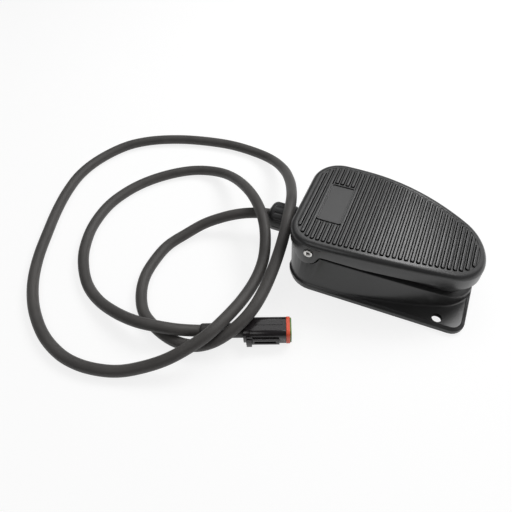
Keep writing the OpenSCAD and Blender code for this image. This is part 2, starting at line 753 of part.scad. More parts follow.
module tube(path, d, k = 10) {
  n = len(path) - 1;
  function dirn(i) = let (v = path[min(i + 1, n)] - path[max(i - 1, 0)]) v / norm(v);
  pts = [for (i = [0:n]) let (t = dirn(i), s = cross([0, 0, 1], t) / norm(cross([0, 0, 1], t)),
      u = cross(t, s)) for (j = [0:k - 1]) let (b = 360 * (j + 0.5) / k)
      path[i] + (d / 2) * (cos(b) * s + sin(b) * u)];
  polyhedron(pts, concat([[for (j = [0:k - 1]) j]],
    [for (i = [0:n - 1]) for (j = [0:k - 1]) let (j2 = (j + 1) % k)
      each [[i * k + j, (i + 1) * k + j, (i + 1) * k + j2], [i * k + j, (i + 1) * k + j2, i * k + j2]]],
    [[for (j = [k - 1:-1:0]) n * k + j]]), convexity = 20);
}

module cord() { color([0.20, 0.19, 0.185]) tube(route, cord_d); }

module lead(path, c) { color(c) tube(path, 2.2, 8); }

// ---------- connector ----------

module at_plug() { translate(con_p) rotate([0, 0, con_a]) rotate([0, 90, 0]) rotate(-90) children(); }

module rounded(w, h, r) {
  polygon(concat(arc([r - w / 2, r - h / 2], r, 180, 270, 5), arc([w / 2 - r, r - h / 2], r, 270, 360, 5),
    arc([w / 2 - r, h / 2 - r], r, 0, 90, 5), arc([r - w / 2, h / 2 - r], r, 90, 180, 5)));
}

module heat_shrink_sleeve() {
  color([0.13, 0.13, 0.13])
  at_plug() difference() {
    union() {
      translate([0, 0, -38]) cylinder(d = 13.4, h = 36.5);
      translate([0, 0, -39.4]) cylinder(d1 = 12.2, d2 = 13.4, h = 1.42);
    }
    translate([0, 0, -50]) cylinder(d = cord_d + 0.8, h = 60);
  }
}

// local axes: z along the plug, x towards the side that carries the latch
module connector_housing() {
  color([0.05, 0.05, 0.055])
  at_plug() difference() {
    union() {
      translate([0, 0, -0.8]) linear_extrude(6) rounded(20.2, 17.4, 6);
      translate([0, 0, 5]) linear_extrude(32) rounded(20.8, 17.8, 5);
      translate([0, 0, 10]) linear_extrude(24) translate([-1.8, 0]) square([3.6, 18.4], center = true);
      // latch arm and its thumb tab
      translate([10, -5.4, 1.5]) cube([1.8, 10.8, 6]);
      translate([10.2, -4.2, 2]) cube([4.4, 8.4, 4.8]);
      translate([10, -3.8, 7]) cube([2.6, 7.6, 24]);
    }
    translate([0, 0, -2]) cylinder(d = 14.6, h = 10);
    for (s = [-1, 1]) translate([0, s * 3.7, 0]) cylinder(d = 4.4, h = 60);
    translate([0, 0, 25]) linear_extrude(20) rounded(16.4, 13.4, 3.6);
    translate([11.1, -1.7, 9]) cube([3, 3.4, 19]);
  }
}

module connector_rear_seal() {
  color([0.55, 0.20, 0.12])
  at_plug() difference() {
    translate([0, 0, 1.2]) cylinder(d = 14.4, h = 6.6);
    for (s = [-1, 1]) translate([0, s * 3.7, 0]) cylinder(d = 2.3, h = 60);
  }
}

module connector_front_seal() {
  color([0.95, 0.30, 0.12])
  at_plug() difference() {
    translate([0, 0, 37.05]) linear_extrude(3.4) rounded(21.2, 18.2, 5);
    translate([0, 0, 30]) linear_extrude(20) rounded(16.3, 13.3, 3.6);
  }
}

module connector_wedge() {
  color([0.20, 0.62, 0.25])
  at_plug() difference() {
    union() {
      translate([0, 0, 26]) linear_extrude(15) rounded(16, 13, 3.4);
      translate([0, 0, 40.5]) linear_extrude(1.2) rounded(19.4, 16.4, 4.4);
    }
    for (s = [-1, 1]) translate([0, s * 3.7, 0]) cylinder(d = 3.6, h = 60);
    translate([0, 0, 36]) linear_extrude(20) square([3, 1.6], center = true);
  }
}

module socket_contact(s) {
  color([0.80, 0.70, 0.45])
  at_plug() translate([0, s * 3.7, 0]) difference() {
    union() {
      translate([0, 0, 8.4]) cylinder(d = 4, h = 6);
      translate([0, 0, 14.3]) cylinder(d = 3.2, h = 22);
    }
    translate([0, 0, 26]) cylinder(d = 1.7, h = 20);
    translate([0, 0, 7]) cylinder(d = 2.4, h = 5);
  }
}

lead_a = [[-77.7, 2.4, 26.5], [-66, 4.5, 25], [-50, 9, 18], [-34, 9, 10], [-20, 4, 6.5], [-9.2, 0.5, 6.4]];
lead_b = [[-77.7, -2.4, 26.5], [-66, -4.5, 24], [-50, -8, 15], [-32, -9, 7.5], [-12, -6.5, 5.2],
  [0, -3.2, 5], [2.7, -1.4, 6.4]];

base_housing();
bottom_cover();
cover_gasket();
cover_screw(1);  // cover_screw_1
cover_screw(2);  // cover_screw_2
cover_screw(3);  // cover_screw_3
cover_screw(4);  // cover_screw_4
cover_screw(5);  // cover_screw_5
cover_screw(6);  // cover_screw_6
pedal();
hinge_pin();
hinge_bush(-1);  // hinge_bush_near
hinge_bush(1);  // hinge_bush_far
return_spring(-1);  // return_spring_near
return_spring(1);  // return_spring_far
rest_pad(-1);  // rest_pad_near
rest_pad(1);  // rest_pad_far
stop_pad(-1);  // stop_pad_near
stop_pad(1);  // stop_pad_far
actuator_screw();
actuator_nut();
plunger_guide();
guide_nut();
plunger_boot();
plunger();
switch_case();
switch_button();
switch_lever();
lever_pin();
terminal(-11);  // terminal_com
terminal(0.8);  // terminal_no
terminal(8.4);  // terminal_nc
switch_bracket();
switch_screw(hole_a);  // switch_screw_1
switch_screw(hole_b);  // switch_screw_2
bracket_screw(brk_x[0]);  // bracket_screw_1
bracket_screw(brk_x[1]);  // bracket_screw_2
gland_body();
gland_washer();
gland_locknut();
gland_seal();
gland_nut();
cord();
lead(lead_a, [0.75, 0.12, 0.10]);  // lead_com
lead(lead_b, [0.10, 0.10, 0.10]);  // lead_no
heat_shrink_sleeve();
connector_housing();
connector_rear_seal();
connector_front_seal();
connector_wedge();
socket_contact(-1);  // socket_contact_1
socket_contact(1);  // socket_contact_2
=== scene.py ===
"""Foot switch: ribbed pedal on a flanged casting, cable gland, loose cord and sealed plug.

Lengths of shapes are millimetres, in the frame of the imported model: +X towards the toe of
the pedal, +Y along the hinge axis, +Z up. Meshes are scaled to metres last. Finishes
measure in metres, and their noises in cells per metre.
"""

from __future__ import annotations

import json
import logging
import math
from dataclasses import dataclass, field
from enum import Enum
from functools import cache
from typing import ClassVar, Iterable, Sequence

import bmesh  # noqa: E402
import bpy  # noqa: E402
from bmesh.types import BMEdge, BMesh, BMFace, BMVert  # noqa: E402
from bpy.types import Material, Mesh, MeshPolygon, Node, NodeSocket, Object  # noqa: E402
from mathutils import Euler, Matrix, Quaternion, Vector  # noqa: E402


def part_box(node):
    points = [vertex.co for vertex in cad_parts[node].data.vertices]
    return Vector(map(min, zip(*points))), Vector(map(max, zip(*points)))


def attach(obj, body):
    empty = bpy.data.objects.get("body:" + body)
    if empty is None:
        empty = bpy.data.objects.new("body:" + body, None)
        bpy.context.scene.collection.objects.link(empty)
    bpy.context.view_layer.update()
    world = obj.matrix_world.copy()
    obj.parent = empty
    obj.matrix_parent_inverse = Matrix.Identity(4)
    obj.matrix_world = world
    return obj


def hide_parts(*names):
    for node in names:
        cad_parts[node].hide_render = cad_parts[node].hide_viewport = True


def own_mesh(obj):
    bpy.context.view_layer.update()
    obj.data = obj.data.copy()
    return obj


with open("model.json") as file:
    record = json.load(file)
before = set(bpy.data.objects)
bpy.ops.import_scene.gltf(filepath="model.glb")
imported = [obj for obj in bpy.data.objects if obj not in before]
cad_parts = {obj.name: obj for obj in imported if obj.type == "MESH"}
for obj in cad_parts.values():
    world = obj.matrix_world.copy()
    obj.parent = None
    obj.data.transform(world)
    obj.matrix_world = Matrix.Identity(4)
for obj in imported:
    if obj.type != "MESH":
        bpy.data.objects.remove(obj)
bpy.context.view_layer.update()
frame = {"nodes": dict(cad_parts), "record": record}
SLOTS: dict[str, str] = {part["node"]: part["material_slot"]
                         for part in frame["record"]["subparts"]}

Colour = tuple[float, float, float]

LOG = logging.getLogger("foot_switch")
MM = 0.001
HINGE = (-61.5, 53.5)  # millimetres: x and z of the hinge axis
EAR = (-65.3, 50.9)  # millimetres: x and z of the ears' middle
SHARP = 32.0  # degrees: edges keener than this stay sharp
WELD = 2e-6  # metres: packed corners closer than this are one
MERGE = 1e-4  # millimetres: corners closer than this are one
LEVEL = 1e-3  # millimetres: heights closer than this are one
UP = 0.9995  # upward part of a level face's normal
KEEN = 38.0  # degrees: convex edges keener than this get a round
FLAT = 0.4  # degrees: faces this close to one plane become one face
STEP = 0.03  # millimetres: corners this close to a height move with it


class Body(str, Enum):
    """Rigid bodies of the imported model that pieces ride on."""

    HOUSING = "housing"
    PEDAL = "pedal"


# ---- shader maths


class Value:
    """A number socket with arithmetic; each expression adds its Math nodes."""

    def __init__(self, shade: "Shading", socket: NodeSocket) -> None:
        """Wrap a socket of the node tree that `shade` is filling."""
        self.shade = shade
        self.socket = socket

    def _math(self, operation: str, *terms: "Value | float") -> "Value":
        """Add one Math node.

        Args:
            operation: Blender's name of the operation.
            terms: Its inputs in order.

        Returns:
            The node's result.
        """
        node = self.shade.node("ShaderNodeMath", {"operation": operation},
                               dict(enumerate(terms)))
        return Value(self.shade, node.outputs[0])

    def __add__(self, other: "Value | float") -> "Value":
        """Sum."""
        return self._math("ADD", self, other)

    def __mul__(self, other: "Value | float") -> "Value":
        """Product."""
        return self._math("MULTIPLY", self, other)

    def __sub__(self, other: "Value | float") -> "Value":
        """Difference."""
        return self._math("SUBTRACT", self, other)

    def clipped(self) -> "Value":
        """The value kept between 0 and 1."""
        return self._math("MINIMUM", self._math("MAXIMUM", self, 0.0), 1.0)

    def contrast(self, gain: float) -> "Value":
        """Spread the value about 0.5.

        Args:
            gain: Factor of the spread.

        Returns:
            The spread value between 0 and 1.
        """
        return (self * gain - (gain - 1.0) / 2).clipped()


class Shading:
    """Fills the node tree of one material."""

    def __init__(self, name: str) -> None:
        """Start an empty material called `name`."""
        self.material = bpy.data.materials.new(name)
        self.material.use_nodes = True
        self.tree = self.material.node_tree
        self.tree.nodes.clear()
        self.coords = self.node("ShaderNodeTexCoord").outputs["Object"]

    def node(
        self,
        kind: str,
        settings: dict[str, object] | None = None,
        sockets: dict[str | int, object] | None = None,
    ) -> Node:
        """Add a node.

        Args:
            kind: Blender's node type.
            settings: Attributes set first.
            sockets: Input name or number to a value, a socket or a Value.

        Returns:
            The new node.
        """
        node = self.tree.nodes.new(kind)
        for key, setting in (settings or {}).items():
            setattr(node, key, setting)
        for key, value in (sockets or {}).items():
            target = node.inputs[key]
            if isinstance(value, Value):
                self.tree.links.new(value.socket, target)
            elif isinstance(value, NodeSocket):
                self.tree.links.new(value, target)
            else:
                target.default_value = value
        return node

    def noise(self, scale: float, detail: float = 2.0,
              stretch: Sequence[float] = (1.0, 1.0, 1.0)) -> Value:
        """Noise on Object coordinates.

        Args:
            scale: Cells per metre.
            detail: Octaves.
            stretch: Scale of each axis before the noise.

        Returns:
            The noise, about 0.5 in the mean.
        """
        moved = self.node("ShaderNodeMapping", None,
                          {"Vector": self.coords, "Scale": tuple(stretch)})
        node = self.node("ShaderNodeTexNoise", None, {
            "Vector": moved.outputs[0], "Scale": scale, "Detail": detail, "Roughness": 0.5})
        return Value(self, node.outputs[0])

    @staticmethod
    def varied(mean: float, *parts: tuple[Value, float]) -> Value:
        """Vary a number with noises.

        Args:
            mean: Its mean.
            parts: Each noise with its weight.

        Returns:
            The varied number.
        """
        total, *others = (noise * weight for noise, weight in parts)
        for other in others:
            total = total + other
        return total + (mean - sum(weight for _, weight in parts) / 2)

    def blend(self, mask: Value, low: Colour, high: Colour) -> NodeSocket:
        """Mix two colours by a mask.

        Args:
            mask: 0 gives `low`, 1 gives `high`.
            low: First colour, RGB.
            high: Second colour, RGB.

        Returns:
            The colour socket.
        """
        node = self.node("ShaderNodeMix", {"data_type": "RGBA"}, {
            0: mask, 6: (*low, 1.0), 7: (*high, 1.0)})
        return node.outputs[2]

    def bump(self, height: Value, depth: float, strength: float = 0.5) -> NodeSocket:
        """Turn a height into a normal.

        Args:
            height: 0 to 1.
            depth: Metres that 1 stands for.
            strength: Share of the effect.

        Returns:
            The normal socket.
        """
        node = self.node("ShaderNodeBump", None, {
            "Height": height, "Distance": depth, "Strength": strength})
        return node.outputs[0]

    def surface(self, **sockets: object) -> Material:
        """Close the material with one Principled shader.

        Args:
            sockets: Principled inputs, with _ for a space.

        Returns:
            The material.
        """
        shader = self.node("ShaderNodeBsdfPrincipled", None,
                           {key.replace("_", " "): value for key, value in sockets.items()})
        self.node("ShaderNodeOutputMaterial", None, {"Surface": shader.outputs[0]})
        return self.material


# ---- finishes


@dataclass(frozen=True)
class SatinCoat:
    """Black powder coat on die-cast metal: fine orange peel, faint wear and dust."""

    name: str
    colour: Colour = (0.030, 0.030, 0.031)
    dusty: Colour = (0.046, 0.046, 0.046)
    roughness: float = 0.30
    peel: float = 1900.0
    specular: float = 0.5
    drifts: float = 26.0
    dimples: float = 420.0
    depth: float = 0.00003

    def material(self) -> Material:
        """Build the finish."""
        shade = Shading(self.name)
        cloud = shade.noise(self.drifts, 4.0)
        grain = shade.noise(self.peel)
        coarse = shade.noise(self.dimples)
        return shade.surface(
            Base_Color=shade.blend(cloud.contrast(1.6), self.colour, self.dusty),
            Roughness=shade.varied(self.roughness, (cloud, 0.10), (grain, 0.06)),
            IOR=1.5,
            Specular_IOR_Level=self.specular,
            Normal=shade.bump(grain * 0.7 + coarse * 0.3, self.depth, 0.55),
        )


@dataclass(frozen=True)
class Moulded:
    """Moulded plastic or rubber with a fine skin and slight colour drift."""

    name: str
    colour: Colour
    roughness: float = 0.5
    drift: float = 0.25
    grain: float = 1500.0
    depth: float = 0.00004

    def material(self) -> Material:
        """Build the finish."""
        shade = Shading(self.name)
        cloud = shade.noise(60.0, 3.0)
        grain = shade.noise(self.grain)
        low = tuple(c * (1.0 - self.drift) for c in self.colour)
        high = tuple(min(1.0, c * (1.0 + self.drift)) for c in self.colour)
        return shade.surface(
            Base_Color=shade.blend(cloud.contrast(1.5), low, high),
            Roughness=shade.varied(self.roughness, (grain, 0.10)),
            IOR=1.5,
            Normal=shade.bump(grain, self.depth),
        )


@dataclass(frozen=True)
class Metal:
    """Bare or plated metal with fine turning or rolling marks."""

    name: str
    colour: Colour
    roughness: float = 0.25
    stretch: tuple[float, float, float] = (1.0, 12.0, 1.0)
    tarnish: float = 0.86
    depth: float = 0.00001

    def material(self) -> Material:
        """Build the finish."""
        shade = Shading(self.name)
        marks = shade.noise(700.0, 3.0, self.stretch)
        cloud = shade.noise(90.0)
        dark = tuple(c * self.tarnish for c in self.colour)
        return shade.surface(
            Base_Color=shade.blend(cloud, dark, self.colour),
            Metallic=1.0,
            Roughness=shade.varied(self.roughness, (marks, 0.16), (cloud, 0.06)),
            Normal=shade.bump(marks, self.depth),
        )


@dataclass(frozen=True)
class Jacket:
    """Matte rubber jacket of the cord: talc bloom, slow ripples and a fine grain."""

    name: str
    colour: Colour = (0.050, 0.047, 0.045)
    bloom: Colour = (0.088, 0.083, 0.079)
    roughness: float = 0.56
    depth: float = 0.00022

    def material(self) -> Material:
        """Build the finish."""
        shade = Shading(self.name)
        cloud = shade.noise(34.0, 4.0)
        ripple = shade.noise(150.0)
        grain = shade.noise(1400.0)
        return shade.surface(
            Base_Color=shade.blend(cloud.contrast(1.7), self.colour, self.bloom),
            Roughness=shade.varied(self.roughness, (cloud, 0.10), (grain, 0.08)),
            IOR=1.48,
            Sheen_Weight=0.12,
            Sheen_Roughness=0.5,
            Normal=shade.bump(ripple * 0.75 + grain * 0.25, self.depth),
        )


Finish = SatinCoat | Moulded | Metal | Jacket

# Painted shade: a near-black, rough, dull finish put on the rib flanks, the strips at the ribs'
# feet and the walls of the ear pockets and mounting holes, where shade falls.
PAINTED_SHADE = SatinCoat("painted_shade_black", (0.002, 0.002, 0.002), (0.004, 0.004, 0.004), 0.7,
                  specular=0.05)
FIELD = SatinCoat("black_rib_field", (0.034, 0.034, 0.034), (0.052, 0.052, 0.052), 0.34)
FINISHES: dict[str, Finish] = {
    "coated_casting": SatinCoat("black_powder_coat"),
    "coated_sheet": SatinCoat("black_sheet_coat", peel=1300.0, roughness=0.46),
    "cord_jacket": Jacket("cord_jacket"),
    "gland_nylon": Moulded("black_nylon", (0.022, 0.022, 0.023), 0.42),
    "connector_plastic": Moulded("connector_black", (0.017, 0.0145, 0.016), 0.24,
                                 grain=600.0, depth=0.00002),
    "shrink_tube": Moulded("shrink_tube", (0.034, 0.032, 0.032), 0.52,
                           grain=700.0, depth=0.00008),
    "black_rubber": Moulded("black_rubber", (0.022, 0.022, 0.022), 0.70),
    "orange_silicone": Moulded("orange_silicone", (0.96, 0.12, 0.055), 0.42, drift=0.08),
    "rear_seal_silicone": Moulded("rear_seal", (0.42, 0.07, 0.035), 0.55),
    "green_plastic": Moulded("green_wedge", (0.08, 0.34, 0.07), 0.38, drift=0.15),
    "switch_plastic": Moulded("switch_plastic", (0.035, 0.035, 0.04), 0.6),
    "button_plastic": Moulded("button_plastic", (0.50, 0.03, 0.02), 0.4),
    "red_insulation": Moulded("red_insulation", (0.45, 0.02, 0.02), 0.45),
    "black_insulation": Moulded("black_insulation", (0.02, 0.02, 0.02), 0.45),
    "bright_steel": Metal("bright_steel", (0.86, 0.85, 0.83), 0.32),
    "zinc_steel": Metal("zinc_steel", (0.62, 0.63, 0.65), 0.34),
    "spring_steel": Metal("spring_steel", (0.52, 0.52, 0.54), 0.30),
    "bronze": Metal("bronze", (0.52, 0.34, 0.15), 0.40),
    "brass": Metal("brass", (0.72, 0.52, 0.22), 0.30),
    "tinned_brass": Metal("tinned_brass", (0.66, 0.62, 0.52), 0.34),
    "contact_nickel": Metal("contact_nickel", (0.70, 0.67, 0.60), 0.28),
}


@cache
def finish(kind: Finish) -> Material:
    """Build a finish once.

    Args:
        kind: The finish.

    Returns:
        Its material.
    """
    return kind.material()


# ---- mesh helpers


def piece_from(bm: BMesh, name: str, body: Body, slot: str, smooth: float) -> Object:
    """Turn a bmesh in millimetres into a finished piece.

    Args:
        bm: The mesh; it is freed.
        name: Object name.
        body: Body that it rides on.
        slot: Material slot of the record.
        smooth: Edges keener than this many degrees stay sharp.

    Returns:
        The object, at the origin, in metres.
    """
    bmesh.ops.scale(bm, vec=(MM, MM, MM), verts=bm.verts)
    return _dress(_link(bm, name), body, slot, smooth)


def _link(bm: BMesh, name: str) -> Object:
    """Make an object of a bmesh and link it to the scene.

    Args:
        bm: The mesh in metres; it is freed.
        name: Name of the object and of its mesh.

    Returns:
        The object.
    """
    mesh = bpy.data.meshes.new(name)
    bm.to_mesh(mesh)
    bm.free()
    made = bpy.data.objects.new(name, mesh)
    bpy.context.scene.collection.objects.link(made)
    return made


def _dress(piece: Object, body: Body, slot: str, smooth: float) -> Object:
    """Shade a piece, give it its finish and its body.

    Args:
        piece: New object.
        body: Body it rides on.
        slot: Material slot of the record.
        smooth: Sharp angle in degrees.

    Returns:
        The piece.
    """
    mesh = piece.data
    mesh.materials.append(finish(FINISHES[slot]))
    mesh.polygons.foreach_set("use_smooth", [True] * len(mesh.polygons))
    mesh.set_sharp_from_angle(angle=math.radians(smooth))
    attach(piece, body.value)
    return piece


def mark_level(mesh: Mesh) -> None:
    """Keep the border of level faces crisp.

    Args:
        mesh: The mesh.
    """
    bm = bmesh.new()
    bm.from_mesh(mesh)
    level = [e.index for e in bm.edges if len(e.link_faces) == 2
             and sum(f.normal.z > UP for f in e.link_faces) == 1]
    bm.free()
    for edge in level:
        mesh.edges[edge].use_edge_sharp = True


def merged_copy(node: str, name: str, smooth: float, rounded: float = 0.0,
                lift: Sequence[tuple[float, float]] = ()) -> Object:
    """Copy a node of the housing, weld its triangles and shade it smoothly in its place.

    Args:
        node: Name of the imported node.
        name: Name of the new piece.
        smooth: Sharp angle in degrees.
        rounded: Size of the round on keen edges, in millimetres.
        lift: Heights whose corners move to a new height, in millimetres.

    Returns:
        The new piece, which replaces the node.
    """
    bm = bmesh.new()
    bm.from_mesh(frame["nodes"][node].data)
    bmesh.ops.remove_doubles(bm, verts=bm.verts, dist=WELD)
    bmesh.ops.dissolve_degenerate(bm, dist=WELD / 2, edges=bm.edges)
    bmesh.ops.recalc_face_normals(bm, faces=bm.faces)
    bmesh.ops.dissolve_limit(bm, angle_limit=math.radians(FLAT), verts=bm.verts, edges=bm.edges)
    for old, new in lift:
        for vert in bm.verts:
            if abs(vert.co.z - old * MM) < STEP * MM:
                vert.co.z = new * MM
    if rounded:
        keen = [e for e in bm.edges if len(e.link_faces) == 2
                and e.calc_face_angle(0.0) > math.radians(KEEN) and e.is_convex]
        bevel(bm, keen, rounded * MM)
    piece = _dress(_link(bm, name), Body.HOUSING, SLOTS[node], smooth)
    mark_level(piece.data)
    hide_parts(node)
    return piece


def carve(piece: Object, bm: BMesh) -> None:
    """Cut a closed shape out of a piece for good.

    Args:
        piece: Object to cut, in metres.
        bm: Cutter in millimetres; it is freed.
    """
    bmesh.ops.recalc_face_normals(bm, faces=bm.faces)
    bmesh.ops.scale(bm, vec=(MM, MM, MM), verts=bm.verts)
    cutter = _link(bm, "cutter")
    boolean = piece.modifiers.new("cut", "BOOLEAN")
    boolean.operation, boolean.object, boolean.solver = "DIFFERENCE", cutter, "EXACT"
    evaluated = piece.evaluated_get(bpy.context.evaluated_depsgraph_get())
    cut = bpy.data.meshes.new_from_object(evaluated)
    piece.modifiers.remove(boolean)
    old, piece.data = piece.data, cut
    cut.name = old.name + "_cut"
    cut.set_sharp_from_angle(angle=math.radians(SHARP))
    mark_level(cut)
    tool = cutter.data
    bpy.data.objects.remove(cutter)
    bpy.data.meshes.remove(tool)
    bpy.data.meshes.remove(old)


def bevel(bm: BMesh, edges: Iterable[BMEdge], size: float,
          segments: int = 2) -> None:
    """Round edges.

    Args:
        bm: The mesh.
        edges: Edges to round.
        size: Offset in the mesh's unit.
        segments: Steps of the round.
    """
    bmesh.ops.bevel(bm, geom=list(edges), offset=size, offset_type="OFFSET", affect="EDGES",
                    segments=segments, profile=0.5, material=-1, clamp_overlap=True)


def block(size: Sequence[float], middle: Sequence[float]) -> BMesh:
    """Make a box.

    Args:
        size: Its three sizes.
        middle: Where its middle lies.

    Returns:
        The box in a bmesh of its own.
    """
    bm = bmesh.new()
    bmesh.ops.create_cube(bm, size=1.0)
    bmesh.ops.scale(bm, vec=size, verts=bm.verts)
    bmesh.ops.translate(bm, vec=middle, verts=bm.verts)
    return bm


def uprights(bm: BMesh) -> list[BMEdge]:
    """Find the upright edges of a box made by `block`."""
    return [e for e in bm.edges if abs(e.verts[0].co.z - e.verts[1].co.z) > LEVEL]


def append(bm: BMesh, other: BMesh) -> None:
    """Add another bmesh to a bmesh and free it.

    Args:
        bm: Mesh that grows.
        other: Mesh that is added; it is freed.
    """
    mesh = bpy.data.meshes.new("part")
    other.to_mesh(mesh)
    other.free()
    bm.from_mesh(mesh)
    bpy.data.meshes.remove(mesh)


def rod(radius: float, length: float, x: float, z: float) -> BMesh:
    """Make a closed rod along Y.

    Args:
        radius: Its radius.
        length: Its length, half on either side of the middle plane.
        x: Place of its axis.
        z: Height of its axis.

    Returns:
        The rod in a bmesh of its own.
    """
    bm = bmesh.new()
    bmesh.ops.create_cone(bm, cap_ends=True, segments=48, radius1=radius, radius2=radius,
                          depth=length)
    bmesh.ops.rotate(bm, cent=(0, 0, 0), matrix=Matrix.Rotation(math.pi / 2, 3, "X"),
                     verts=bm.verts)
    bmesh.ops.translate(bm, vec=(x, 0, z), verts=bm.verts)
    return bm


# ---- pedal


@dataclass
class DOutline:
    """Tangent arcs of the pedal seen from above: rear corners, long sides, toe."""

    rear_x: float = -86.5
    toe_x: float = 86.5
    corner_r: float = 27.0
    side_r: float = 336.0
    toe_r: float = 37.5
    toe_angle: float = 69.5
    steps: tuple[int, int, int] = (20, 60, 36)

    def centres(self) -> tuple[Vector, Vector, Vector, float]:
        """Place the arcs of the near half.

        Returns:
            Centres of the corner, side and toe arcs, and the heading in degrees at which
            the corner arc hands over to the side arc.
        """
        toe = Vector((self.toe_x - self.toe_r, 0.0))
        turn = math.radians(self.toe_angle)
        reach = self.side_r - self.toe_r
        side = Vector((toe.x - reach * math.cos(turn), reach * math.sin(turn)))
        corner_x = self.rear_x + self.corner_r
        drop = math.sqrt((self.side_r - self.corner_r) ** 2 - (corner_x - side.x) ** 2)
        corner = Vector((corner_x, side.y - drop))
        return corner, side, toe, math.degrees(math.atan2(corner.y - side.y, corner.x - side.x))

    def half_width(self, x: float, inset: float = 0.0) -> float:
        """Half the width at x.

        Args:
            x: Station along the pedal.
            inset: Distance inside the outline.

        Returns:
            Distance from the middle plane to the inset outline.
        """
        corner, side, toe, _ = self.centres()
        if x < corner.x:
            radius = self.corner_r - inset
            return -corner.y + math.sqrt(max(0.0, radius ** 2 - (x - corner.x) ** 2))
        joint = toe.x + (self.toe_r - inset) * math.cos(math.radians(self.toe_angle))
        if x < joint:
            return math.sqrt((self.side_r - inset) ** 2 - (x - side.x) ** 2) - side.y
        return math.sqrt(max(0.0, (self.toe_r - inset) ** 2 - (x - toe.x) ** 2))

    def face(self, bm: BMesh, height: float) -> BMFace:
        """Draw the outline as one flat face.

        Args:
            bm: Mesh that gets it.
            height: Its z.

        Returns:
            The face, looking up.
        """
        corner, side, toe, handover = self.centres()
        vert = bmesh.ops.create_vert(bm, co=(self.rear_x, corner.y, height))["vert"][0]
        arcs = [(corner, 180.0 + handover), (side, -self.toe_angle - handover),
                (toe, self.toe_angle)]
        last = [vert]
        for (centre, sweep), steps in zip(arcs, self.steps):
            spun = bmesh.ops.spin(
                bm, geom=last, cent=(centre.x, centre.y, height), axis=(0, 0, 1),
                dvec=(0, 0, 0), angle=math.radians(sweep), steps=steps,
                use_merge=False, use_duplicate=False)
            last = [v for v in spun["geom_last"] if isinstance(v, BMVert)]
        last[0].co.y = 0.0
        bmesh.ops.mirror(bm, geom=bm.verts[:] + bm.edges[:], axis="Y", merge_dist=MERGE)
        ends = [v for v in bm.verts if len(v.link_edges) == 1]
        bmesh.ops.contextual_create(bm, geom=ends)
        bmesh.ops.contextual_create(bm, geom=bm.edges[:])
        face = max(bm.faces, key=lambda f: f.calc_area())
        if face.normal.z < 0:
            face.normal_flip()
        return face


